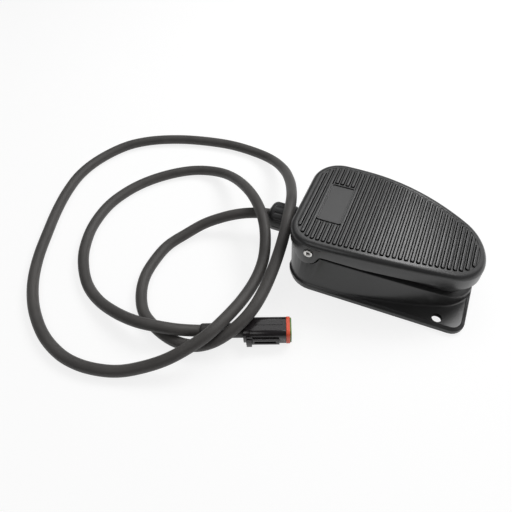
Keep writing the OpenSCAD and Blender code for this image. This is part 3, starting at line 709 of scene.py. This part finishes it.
@dataclass
class PedalTread:
    """Ribbed pedal shell with its skirt, ears and bare nameplate window."""

    # slot 1 holds the painted shade on rib flanks and their strips; slot 2 the sunk field
    PAINTED_SHADE_SLOT: ClassVar[int] = 1
    FIELD_SLOT: ClassVar[int] = 2

    # shell
    outline: DOutline = field(default_factory=DOutline)
    tread_z: float = 65.5
    crown_r: float = 325.0
    crown_x: float = -34.0
    skirt: float = 15.9
    wall: float = 2.8
    edge_r: float = 5.0
    edge_steps: int = 8
    lip_round: float = 0.7
    slice_step: float = 3.0
    # sunk field
    border: float = 7.5
    field_inset: float = 6.7
    field_drop: float = 0.45
    field_draft: float = 0.3
    # ribs and the strips of painted shade along their roots
    first_rib: float = -72.0
    ribs: range = range(-1, 30)
    rib_pitch: float = 5.1
    rib_width: float = 2.6
    rib_height: float = 1.1
    rib_bury: float = 0.3
    rib_turn: float = 0.48
    rib_round: float = 0.9
    rib_shortest: float = 6.0
    shade_strip_reach: float = 0.68
    shade_strip_thick: float = 0.3
    shade_strip_top: float = 0.04
    # window and its raised frame
    window_ribs: tuple[int, int] = (2, 5)
    window_half: float = 23.0
    window_gap: float = 2.6
    window_depth: float = 0.25
    frame_width: float = 1.6
    frame_lap: float = 0.3
    frame_bury: float = 0.1
    frame_draft: float = 0.02
    frame_inset: float = 1.35
    frame_corner: float = 2.6
    frame_round: float = 0.25
    frame_height: float = 0.65
    # ears, pin hole and the arch of the skirt
    ear_r: float = 12.5
    ear_fillet: float = 5.0
    ear_reach: float = 15.0
    pin_hole: float = 4.55
    pin_cut: float = 140.0
    arch_clear: float = 4.0
    arch_slope: float = 0.07
    arch_start: float = -14.0
    arch_top: float = 2.2

    def crown(self, x: float) -> float:
        """Height of the tread surface at x."""
        if x < self.crown_x:
            return self.tread_z
        rise = math.sqrt(self.crown_r ** 2 - (x - self.crown_x) ** 2)
        return self.tread_z - self.crown_r + rise

    def skirt_edge(self, x: float) -> float:
        """Height of the skirt's lower edge without the ears, with its arch by the hinge."""
        rise = max(0.0, min(self.arch_top, self.arch_slope * (self.arch_start - x)))
        arch = 0.0 if x < HINGE[0] - self.arch_clear else rise
        return self.crown(x) - self.skirt + arch

    def _fillet(self, sign: int) -> tuple[float, float, float]:
        """Place an ear's fillet.

        Args:
            sign: 1 on the toe side, -1 on the rear side.

        Returns:
            Centre x and z of the fillet, and x where it meets the ear's round.
        """
        ear_x, ear_z = EAR
        centre_z = self.skirt_edge(ear_x + sign * self.ear_reach) - self.ear_fillet
        apart = self.ear_r + self.ear_fillet
        reach = math.sqrt(apart ** 2 - (ear_z - centre_z) ** 2)
        meet = reach * self.ear_r / apart
        return ear_x + sign * reach, centre_z, ear_x + sign * meet

    def lower_edge(self, x: float) -> float:
        """Height of the skirt's lower edge with the ears and their fillets."""
        ear_x, ear_z = EAR
        for sign in (-1, 1):
            centre_x, centre_z, meet = self._fillet(sign)
            if 0 <= sign * (x - meet) and sign * (x - centre_x) < 0:
                square = self.ear_fillet ** 2 - (x - centre_x) ** 2
                return centre_z + math.sqrt(max(0.0, square))
        if self._fillet(-1)[2] < x < self._fillet(1)[2]:
            return ear_z - math.sqrt(max(0.0, self.ear_r ** 2 - (x - ear_x) ** 2))
        return self.skirt_edge(x)

    def _stations(self) -> list[float]:
        """Stations along x where the shell is sliced, closest round the ears."""
        cuts = [EAR[0] + self.ear_r * math.cos(math.radians(a)) for a in range(188, 352, 6)]
        for sign in (-1, 1):
            centre_x, _, meet = self._fillet(sign)
            span = centre_x - meet
            cuts += [centre_x - span * math.sin(math.radians(a)) for a in range(0, 91, 15)]
        cuts += [self.crown_x + self.slice_step * i for i in range(-2, 41)]
        return sorted(set(round(c, 3) for c in cuts))

    def _shell(self) -> BMesh:
        """Model the shell flat, slice it, then bend it to the crown.

        Returns:
            The closed shell in millimetres.
        """
        bm = bmesh.new()
        top = self.outline.face(bm, -self.edge_r)
        rim = [e for e in bm.edges if e.is_boundary]
        for i in range(self.edge_steps):
            a, b = (math.radians(90.0 * k / self.edge_steps) for k in (i, i + 1))
            self._inset(bm, top, self.edge_r * (math.cos(a) - math.cos(b)),
                        self.edge_r * (math.sin(b) - math.sin(a)))
        self._inset(bm, top, self.field_inset - self.edge_r)
        self._inset(bm, top, self.field_draft, -self.field_drop)
        top.material_index = self.FIELD_SLOT
        for vert in bmesh.ops.extrude_edge_only(bm, edges=rim)["geom"]:
            if isinstance(vert, BMVert):
                vert.co.z = -self.skirt
        self._slice(bm)
        self._raise_window(bm)
        for vert in bm.verts:
            if abs(vert.co.z + self.skirt) < LEVEL:
                vert.co.z = self.lower_edge(vert.co.x)
            else:
                vert.co.z += self.crown(vert.co.x)
        bmesh.ops.recalc_face_normals(bm, faces=bm.faces)
        outside = max(bm.faces, key=lambda f: f.calc_center_median().z)
        if outside.normal.z < 0:
            bmesh.ops.reverse_faces(bm, faces=bm.faces)
        lip = [e for e in bm.edges if e.is_boundary]
        bmesh.ops.solidify(bm, geom=bm.faces[:], thickness=self.wall)
        bevel(bm, [e for e in lip if e.is_valid], self.lip_round, 3)
        return bm

    @staticmethod
    def _inset(bm: BMesh, face: BMFace, thickness: float,
               depth: float = 0.0) -> None:
        """Inset one face evenly.

        Args:
            bm: Its mesh.
            face: The face.
            thickness: How far its border moves in.
            depth: How far it rises.
        """
        bmesh.ops.inset_region(bm, faces=[face], use_boundary=True, use_even_offset=True,
                               thickness=thickness, depth=depth)

    def _slice(self, bm: BMesh) -> None:
        """Cut the flat shell at every station and along the sides of the window.

        Args:
            bm: The flat shell.
        """
        planes = [((x, 0, 0), (1, 0, 0)) for x in self._stations() + list(self._window())]
        planes += [((0, y, 0), (0, 1, 0)) for y in (-self.window_half, self.window_half)]
        for point, normal in planes:
            bmesh.ops.bisect_plane(bm, geom=bm.verts[:] + bm.edges[:] + bm.faces[:],
                                   dist=MERGE, plane_co=point, plane_no=normal)

    def _raise_window(self, bm: BMesh) -> None:
        """Raise the window's panel from the sunk field.

        Args:
            bm: The flat, sliced shell.
        """
        x0, x1 = self._window()
        panel = [f for f in bm.faces if f.material_index == self.FIELD_SLOT
                 and x0 < f.calc_center_median().x < x1
                 and abs(f.calc_center_median().y) < self.window_half]
        for face in panel:
            face.material_index = 0
        moved = bmesh.ops.extrude_face_region(bm, geom=panel)["geom"]
        bmesh.ops.delete(bm, geom=[f for f in panel if f.is_valid], context="FACES")
        bmesh.ops.translate(bm, vec=(0, 0, self.field_drop - self.window_depth),
                            verts=[v for v in moved if isinstance(v, BMVert)])

    def _rib_x(self, number: int) -> float:
        """Station of a rib."""
        return self.first_rib + number * self.rib_pitch

    def _window(self) -> tuple[float, float]:
        """Rear and front edge of the window between its two flanking ribs."""
        first, last = self.window_ribs
        return (self._rib_x(first - 1) + self.rib_width / 2,
                self._rib_x(last + 1) - self.rib_width / 2)

    def _rib(self, bm: BMesh, x: float, y0: float, y1: float) -> None:
        """Add one rib with round ends, a softened crest, and painted shade on its flanks and foot.

        Args:
            bm: Mesh that gets the rib.
            x: Its station.
            y0: Where it starts.
            y1: Where it ends.
        """
        bury = self.field_drop + self.rib_bury
        rib = block((self.rib_width, y1 - y0, self.rib_height + bury),
                    (x, (y0 + y1) / 2, (self.rib_height - bury) / 2))
        bevel(rib, uprights(rib), self.rib_width * self.rib_turn, 5)
        crest = [e for e in rib.edges
                 if all(abs(v.co.z - self.rib_height) < LEVEL for v in e.verts)
                 and any(f.normal.z < 0.5 for f in e.link_faces)]
        bevel(rib, crest, self.rib_round, 4)
        # the rib's upright faces get the painted shade
        for flank in rib.faces:
            flank.material_index = self.PAINTED_SHADE_SLOT if abs(flank.normal.z) < 0.5 else 0
        # a thin near-black strip either side of the rib is painted shade at its foot
        strip = block((self.rib_width + 2 * self.shade_strip_reach, y1 - y0, self.shade_strip_thick),
                      (x, (y0 + y1) / 2, self.shade_strip_top - self.field_drop - self.shade_strip_thick / 2))
        bevel(strip, uprights(strip), self.rib_width / 2, 5)
        for side in strip.faces:
            side.material_index = self.PAINTED_SHADE_SLOT
        append(rib, strip)
        for vert in rib.verts:
            vert.co.z += self.crown(vert.co.x)
        append(bm, rib)

    def _frame(self, bm: BMesh) -> None:
        """Add the raised frame round the window.

        Args:
            bm: Mesh that gets the frame.
        """
        x0, x1 = self._window()
        top = self.frame_height
        drop = self.frame_height + self.window_depth + self.frame_bury
        size = (x1 - x0 + self.frame_lap, 2 * (self.window_half + self.frame_width), drop)
        ring = block(size, ((x0 + x1) / 2, 0, top - drop / 2))
        bevel(ring, uprights(ring), self.frame_corner, 6)
        crest = next(f for f in ring.faces if f.normal.z > 0.9)
        self._inset(ring, crest, self.frame_inset)
        self._inset(ring, crest, self.frame_draft, -drop)
        bmesh.ops.delete(ring, geom=[crest], context="FACES")
        bevel(ring, [e for e in ring.edges if len(e.link_faces) == 2 and e.is_convex
                     and all(abs(v.co.z - top) < LEVEL for v in e.verts)
                     and e.calc_face_angle(0.0) > math.radians(KEEN)], self.frame_round)
        bmesh.ops.translate(ring, vec=(0, 0, self.tread_z), verts=ring.verts)
        append(bm, ring)

    def _add_ribs(self, bm: BMesh) -> None:
        """Add every rib that fits inside the border; the window breaks some of them.

        Args:
            bm: Mesh that gets the ribs.
        """
        first, last = self.window_ribs
        near = self.window_half + self.window_gap
        for number in self.ribs:
            x = self._rib_x(number)
            reach = self.outline.half_width(x, self.border)
            if first <= number <= last:
                self._rib(bm, x, -reach, -near)
                self._rib(bm, x, near, reach)
            elif reach > self.rib_shortest:
                self._rib(bm, x, -reach, reach)

    def build(self) -> Object:
        """Make the pedal.

        Returns:
            The piece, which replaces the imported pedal.
        """
        bm = self._shell()
        self._add_ribs(bm)
        self._frame(bm)
        piece = piece_from(bm, "pedal_shell", Body.PEDAL, SLOTS["pedal"], smooth=34.0)
        # slot 1: painted shade; slot 2: the sunk field
        piece.data.materials.append(finish(PAINTED_SHADE))
        piece.data.materials.append(finish(FIELD))
        carve(piece, rod(self.pin_hole, self.pin_cut, *HINGE))
        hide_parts("pedal")
        return piece


@dataclass
class Housing:
    """Casting with painted shade on ear pockets and hole walls, set-back gasket, cover sheet."""

    pocket_r: float = 21.0
    pocket_y: float = 49.0
    pocket_tilt: float = 0.6
    hole: tuple[float, float] = (60.0, 48.25)
    hole_r: float = 4.6
    hole_tilt: float = 0.3
    border_lift: tuple[tuple[float, float], ...] = ((5.0, 5.6), (4.3, 4.9))
    gasket_scale: float = 0.984

    def _in_pocket(self, face: MeshPolygon) -> bool:
        """Whether a face is a wall of an ear pocket and looks towards the ear's axis."""
        x, y, z = face.center / MM
        towards = Vector((EAR[0] - x, 0.0, EAR[1] - z))
        return (towards.length < self.pocket_r and towards.dot(face.normal) > 0.0
                and abs(y) > self.pocket_y and abs(face.normal.y) < self.pocket_tilt)

    def _in_hole(self, face: MeshPolygon) -> bool:
        """Whether a face is an upright wall of a mounting hole."""
        x, y, _ = face.center / MM
        off_axis = math.hypot(x - self.hole[0], abs(y) - self.hole[1])
        return off_axis < self.hole_r and abs(face.normal.z) < self.hole_tilt

    def build(self) -> Object:
        """Make the casting, the gasket and the cover.

        Returns:
            The casting.
        """
        casting = merged_copy("base_housing", "housing_casting", smooth=19.0, rounded=0.35,
                              lift=self.border_lift)
        # painted shade on the walls of the ear pockets and mounting holes
        casting.data.materials.append(finish(PAINTED_SHADE))
        for face in casting.data.polygons:
            if self._in_pocket(face) or self._in_hole(face):
                face.material_index = 1
        gasket = merged_copy("cover_gasket", "gasket_set_back", smooth=30.0)
        gasket.data.transform(Matrix.Diagonal((self.gasket_scale, self.gasket_scale, 1.0, 1.0)))
        merged_copy("bottom_cover", "cover_sheet", smooth=30.0, rounded=0.3)
        return casting


@dataclass
class HingePin:
    """Tubular hinge pin, rolled over into a round collar at both ends.

    The mouth of the bore is a list of steps: how much wider it is there, and how deep.
    """

    tube_r: float = 3.7
    bore_r: float = 1.75
    collar_r: float = 4.05
    collar_t: float = 0.9
    mouth: tuple[tuple[float, float], ...] = ((0.9, 0.05), (0.4, 0.3), (0.1, 0.8), (0.0, 1.6))
    segments: int = 48

    def build(self, half_length: float) -> Object:
        """Turn the pin.

        Args:
            half_length: From the middle plane to the outside of a collar.

        Returns:
            The piece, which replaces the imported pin.
        """
        bm = bmesh.new()
        roll = self.collar_t / 2
        points = [(self.tube_r, 0.0), (self.tube_r, half_length - self.collar_t)]
        for a in (math.radians(degrees) for degrees in range(-75, 76, 25)):
            points.append((self.collar_r - roll + roll * math.cos(a),
                           half_length - roll + roll * math.sin(a)))
        points += [(self.bore_r + wider, half_length - deep) for wider, deep in self.mouth]
        points.append((self.bore_r, 0.0))
        last = None
        for radius, along in points:
            vert = bmesh.ops.create_vert(bm, co=(radius, along, 0.0))["vert"][0]
            if last:
                bmesh.ops.contextual_create(bm, geom=[last, vert])
            last = vert
        bmesh.ops.mirror(bm, geom=bm.verts[:] + bm.edges[:], axis="Y", merge_dist=MERGE)
        bmesh.ops.spin(bm, geom=bm.verts[:] + bm.edges[:], cent=(0, 0, 0), axis=(0, 1, 0),
                       dvec=(0, 0, 0), angle=math.tau, steps=self.segments, use_merge=True,
                       use_duplicate=False)
        bmesh.ops.remove_doubles(bm, verts=bm.verts, dist=MERGE)
        bmesh.ops.recalc_face_normals(bm, faces=bm.faces)
        bmesh.ops.translate(bm, vec=(HINGE[0], 0, HINGE[1]), verts=bm.verts)
        piece = piece_from(bm, "hinge_tube", Body.PEDAL, SLOTS["hinge_pin"], smooth=40.0)
        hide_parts("hinge_pin")
        return piece


@dataclass
class SpringSet:
    """Return springs and plunger boot, each copied with a mesh of its own."""

    spring_foot: float = 31.8
    spring_drop: float = 7.2
    boot_foot: float = 47.1
    boot_drop: float = 5.6

    def build(self) -> None:
        """Copy the three pieces."""
        self._tie("return_spring_near", self.spring_foot, self.spring_drop)
        self._tie("return_spring_far", self.spring_foot, self.spring_drop)
        self._tie("plunger_boot", self.boot_foot, self.boot_drop)

    @staticmethod
    def _tie(node: str, foot: float, drop: float) -> None:
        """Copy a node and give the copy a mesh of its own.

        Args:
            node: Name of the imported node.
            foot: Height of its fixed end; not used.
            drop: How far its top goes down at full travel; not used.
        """
        piece = merged_copy(node, node + "_flexing", smooth=40.0)
        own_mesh(piece)


# ---- cord


@dataclass
class Cord:
    """Round two-wire cord laid in open loops from the gland to the plug.

    The length is in metres, the rest in millimetres.
    """

    diameter: float = 11.0
    length: float = 1.97
    steps: int = 6
    route: tuple[tuple[float, float, float], ...] = (
        (-86.5, 0, 26.5), (-100, 0, 26.5), (-121, 0, 26.5), (-137.1, -3.1, 25.4),
        (-153.8, -8, 22.3), (-170.5, -14.9, 17.2), (-186.6, -24.9, 11.7), (-199.7, -40.8, 7.7),
        (-211.3, -61.4, 5.8), (-214.2, -84.2, 5.7), (-212.4, -106, 5.7), (-204.2, -126.1, 5.7),
        (-190.6, -142.7, 5.7), (-170.9, -152.6, 5.7), (-150.2, -157.7, 6.1), (-131.1, -156.5, 8.1),
        (-116.1, -149.8, 12.8), (-104.6, -139.3, 18.8), (-96.4, -126, 23.7), (-91.7, -109.9, 26.5),
        (-89.9, -91.7, 29), (-89.8, -73.1, 32.6), (-90.5, -55, 37.6), (-92.2, -36.8, 42.9),
        (-95.5, -17.4, 47.4), (-100.2, 3.9, 47.2), (-107.7, 25.6, 40), (-118.6, 49.3, 31),
        (-134.6, 74.2, 20.5), (-156.1, 95.1, 11), (-182.5, 107, 6), (-217.1, 110, 5.7),
        (-252.9, 105.7, 5.7), (-287.7, 96.6, 5.7), (-319.4, 81.8, 5.7), (-342.6, 61.5, 5.7),
        (-358.9, 30.6, 5.7), (-365.2, -0.2, 5.7), (-362.3, -30.5, 5.7), (-354, -62, 5.7),
        (-342.7, -93, 5.7), (-330.5, -123, 5.7), (-316.9, -148, 5.7), (-301.3, -168.3, 5.7),
        (-284.2, -184.4, 5.7), (-263.1, -198.5, 5.7), (-239.2, -207.4, 5.7), (-217.6, -209.6, 5.7),
        (-196.7, -206.8, 5.7), (-178.4, -200.8, 6.5), (-159.2, -190.9, 11), (-142.6, -179.7, 16.6),
        (-128.7, -166.3, 22.7), (-117.5, -150.3, 26.5), (-110.4, -129.9, 26.5),
        (-105.2, -105.3, 24.8), (-102.9, -81.4, 24.8), (-104.1, -60.6, 27.5),
        (-108.5, -43.5, 32.9), (-116.3, -26.5, 38), (-128.6, -8.6, 39.5), (-149.9, 15.3, 34),
        (-179, 40.8, 21), (-206.9, 54.9, 10.5), (-235.1, 53.9, 6), (-257.8, 41, 5.7),
        (-279.2, 20.2, 5.7), (-294.3, -3.7, 5.7), (-303.2, -32.9, 5.7), (-302.1, -65.2, 5.7),
        (-293.2, -93, 5.7), (-280.5, -114.2, 5.7), (-261.6, -133.9, 5.7), (-239.2, -146.6, 7.3),
        (-214, -154.3, 12), (-189.7, -157.7, 16.6), (-168.7, -156.3, 18.6), (-149.8, -150.5, 15),
        (-132.2, -141.3, 9.3), (-113.5, -133.6, 9.3), (-95.5, -126.2, 9.3))

    def _fine(self) -> list[Vector]:
        """Smooth the route with a spline through its points.

        Returns:
            Points in metres.
        """
        knots = [Vector(point) * MM for point in self.route]
        fine: list[Vector] = []
        for i, (a, b) in enumerate(zip(knots, knots[1:])):
            before = knots[i - 1] if i else a * 2 - b
            after = knots[i + 2] if i + 2 < len(knots) else b * 2 - a
            for k in range(self.steps):
                t = k / self.steps
                fine.append(0.5 * ((2 * a) + (b - before) * t
                                   + (2 * before - 5 * a + 4 * b - after) * t * t
                                   + (3 * a - before - 3 * b + after) * t ** 3))
        return fine + [knots[-1]]

    def build(self, with_pieces: list[Object]) -> Object:
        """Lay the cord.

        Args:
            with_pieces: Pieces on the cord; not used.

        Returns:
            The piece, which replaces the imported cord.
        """
        curve = bpy.data.curves.new("cord_jacket", "CURVE")
        curve.dimensions = "3D"
        curve.bevel_depth = self.diameter / 2 * MM
        curve.bevel_resolution = 6
        curve.use_fill_caps = True
        points = self._fine()
        spline = curve.splines.new("POLY")
        spline.points.add(len(points) - 1)
        for point, place in zip(spline.points, points):
            point.co = (*place, 1.0)
        spline.use_smooth = True
        piece = bpy.data.objects.new("cord_jacket", curve)
        bpy.context.scene.collection.objects.link(piece)
        curve.materials.append(finish(FINISHES[SLOTS["cord"]]))
        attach(piece, Body.HOUSING.value)
        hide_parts("cord")
        laid = sum((b - a).length for a, b in zip(points, points[1:]))
        LOG.info("cord of %.3f m, laid over %.3f m", self.length, laid)
        return piece


@dataclass
class CordFittings:
    """Pieces on the cord: plug, sleeve and gland, those in sight as moulded copies.

    Each moulded node has its sharp angle in degrees and its round in millimetres.
    """

    moulded: dict[str, tuple[float, float]] = field(default_factory=lambda: {
        "heat_shrink_sleeve": (40.0, 0.0), "connector_housing": (38.0, 0.3),
        "connector_front_seal": (38.0, 0.3), "connector_wedge": (38.0, 0.2),
        "gland_body": (30.0, 0.3), "gland_nut": (30.0, 0.0)})
    packed: tuple[str, ...] = ("connector_rear_seal", "socket_contact_1", "socket_contact_2",
                               "gland_washer", "gland_locknut", "gland_seal")

    def build(self) -> list[Object]:
        """Copy what is in sight.

        Returns:
            All pieces on the cord.
        """
        pieces = [merged_copy(node, node + "_moulded", smooth, rounded)
                  for node, (smooth, rounded) in self.moulded.items()]
        return pieces + [frame["nodes"][node] for node in self.packed]


# ---- carried-over nodes


def dress_nodes() -> None:
    """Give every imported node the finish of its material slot."""
    for name, node in frame["nodes"].items():
        material = finish(FINISHES[SLOTS[name]])
        if not node.material_slots:
            node.data.materials.append(material)
        for place in node.material_slots:
            place.material = material
    LOG.info("%d packed nodes dressed", len(frame["nodes"]))


# ---- studio


@dataclass
class Studio:
    """Camera, pale floor and soft light.

    The camera's place is in millimetres, its lens and sensor too; floor and lamps are in
    metres. A lamp has a name, azimuth and elevation in degrees, and watts.
    """

    place: tuple[float, float, float] = (19.43, -324.50, 396.15)
    yaw: float = 26.275
    pitch: float = 51.013
    roll: float = -3.945
    lens: float = 34.914
    sensor: float = 36.0
    floor_half: float = 3.0
    floor_drop: float = 0.0002
    floor_glow: float = 1.13
    floor_share: float = 0.72
    pale: float = 0.86
    fill: float = 0.10
    aim: tuple[float, float, float] = (0.0, 0.0, 0.03)
    lamp_reach: float = 1.25
    lamp_size: float = 0.55
    lamps: tuple[tuple[str, float, float, float], ...] = (
        ("behind", 67, 52, 7.4), ("behind_low", 45, 22, 1.0), ("behind_left", 112, 52, 2.0),
        ("behind_right", 22, 52, 2.4), ("left", 157, 52, 1.2), ("front_left", 247, 52, 1.5))

    def camera(self) -> Object:
        """Set the camera.

        Returns:
            The camera object.
        """
        data = bpy.data.cameras.new("view")
        data.lens, data.sensor_width = self.lens, self.sensor
        data.clip_start, data.clip_end = 0.01, 50.0
        camera = bpy.data.objects.new("view", data)
        bpy.context.scene.collection.objects.link(camera)
        turn = Euler((math.radians(90 - self.pitch), 0, math.radians(self.yaw))).to_quaternion()
        turn = turn @ Quaternion((0, 0, 1), math.radians(self.roll))
        camera.rotation_mode = "QUATERNION"
        camera.rotation_quaternion = turn
        camera.location = Vector(self.place) * MM
        bpy.context.scene.camera = camera
        return camera

    def floor(self) -> None:
        """Lay a pale floor that shows white to the camera and keeps the shadow."""
        bm = bmesh.new()
        bmesh.ops.create_grid(bm, x_segments=1, y_segments=1, size=self.floor_half)
        floor = _link(bm, "floor")
        floor.location.z = -self.floor_drop
        shade = Shading("pale_floor")
        diffuse = shade.node("ShaderNodeBsdfDiffuse", None, {"Color": (*[self.pale] * 3, 1)})
        glow = shade.node("ShaderNodeEmission", None,
                          {"Color": (1, 1, 1, 1), "Strength": self.floor_glow})
        rays = shade.node("ShaderNodeLightPath")
        seen = (Value(shade, rays.outputs["Is Camera Ray"])
                + Value(shade, rays.outputs["Is Glossy Ray"])).clipped()
        mix = shade.node("ShaderNodeMixShader", None, {
            0: seen * self.floor_share, 1: diffuse.outputs[0], 2: glow.outputs[0]})
        shade.node("ShaderNodeOutputMaterial", None, {"Surface": mix.outputs[0]})
        floor.data.materials.append(shade.material)

    def lamp(self, name: str, azimuth: float, elevation: float, power: float) -> None:
        """Hang one soft box that faces the object.

        Args:
            name: Its name.
            azimuth: Degrees from +X towards +Y.
            elevation: Degrees above the floor.
            power: Watts.
        """
        turn, rise = math.radians(azimuth), math.radians(elevation)
        place = self.lamp_reach * Vector((math.cos(turn) * math.cos(rise),
                                          math.sin(turn) * math.cos(rise), math.sin(rise)))
        data = bpy.data.lights.new(name, "AREA")
        data.shape, data.size, data.energy = "SQUARE", self.lamp_size, power
        light = bpy.data.objects.new(name, data)
        light.location = place
        light.rotation_mode = "QUATERNION"
        light.rotation_quaternion = (Vector(self.aim) - place).to_track_quat("-Z", "Y")
        bpy.context.scene.collection.objects.link(light)

    def light(self) -> None:
        """Light the set with soft boxes all round, strongest from behind."""
        world = bpy.data.worlds.new("room")
        world.use_nodes = True
        bpy.context.scene.world = world
        tree = world.node_tree
        fill = tree.nodes["Background"]
        fill.inputs[0].default_value = (1.0, 1.0, 1.0, 1.0)
        fill.inputs[1].default_value = self.fill
        wall = tree.nodes.new("ShaderNodeBackground")
        wall.inputs[0].default_value = (*[self.pale] * 3, 1.0)
        rays = tree.nodes.new("ShaderNodeLightPath")
        mix = tree.nodes.new("ShaderNodeMixShader")
        tree.links.new(rays.outputs["Is Camera Ray"], mix.inputs[0])
        tree.links.new(fill.outputs[0], mix.inputs[1])
        tree.links.new(wall.outputs[0], mix.inputs[2])
        tree.links.new(mix.outputs[0], tree.nodes["World Output"].inputs[0])
        for name, azimuth, elevation, power in self.lamps:
            self.lamp(name, azimuth, elevation, power)

    def build(self) -> None:
        """Set up the whole studio."""
        bpy.context.scene.view_settings.view_transform = "Standard"
        self.camera()
        self.floor()
        self.light()
        LOG.info("studio ready")


# ---- main


def main() -> None:
    """Build the set and every piece in order."""
    logging.basicConfig(level=logging.INFO, format="%(name)s: %(message)s")
    Studio().build()
    dress_nodes()
    Cord().build(CordFittings().build())
    casting = Housing().build()
    LOG.info("casting, %d faces", len(casting.data.polygons))
    pedal = PedalTread().build()
    LOG.info("pedal, %d faces", len(pedal.data.polygons))
    pin = HingePin().build(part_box("hinge_pin")[1].y / MM)
    LOG.info("hinge pin, %d faces", len(pin.data.polygons))
    SpringSet().build()


if __name__ == "__main__":
    main()
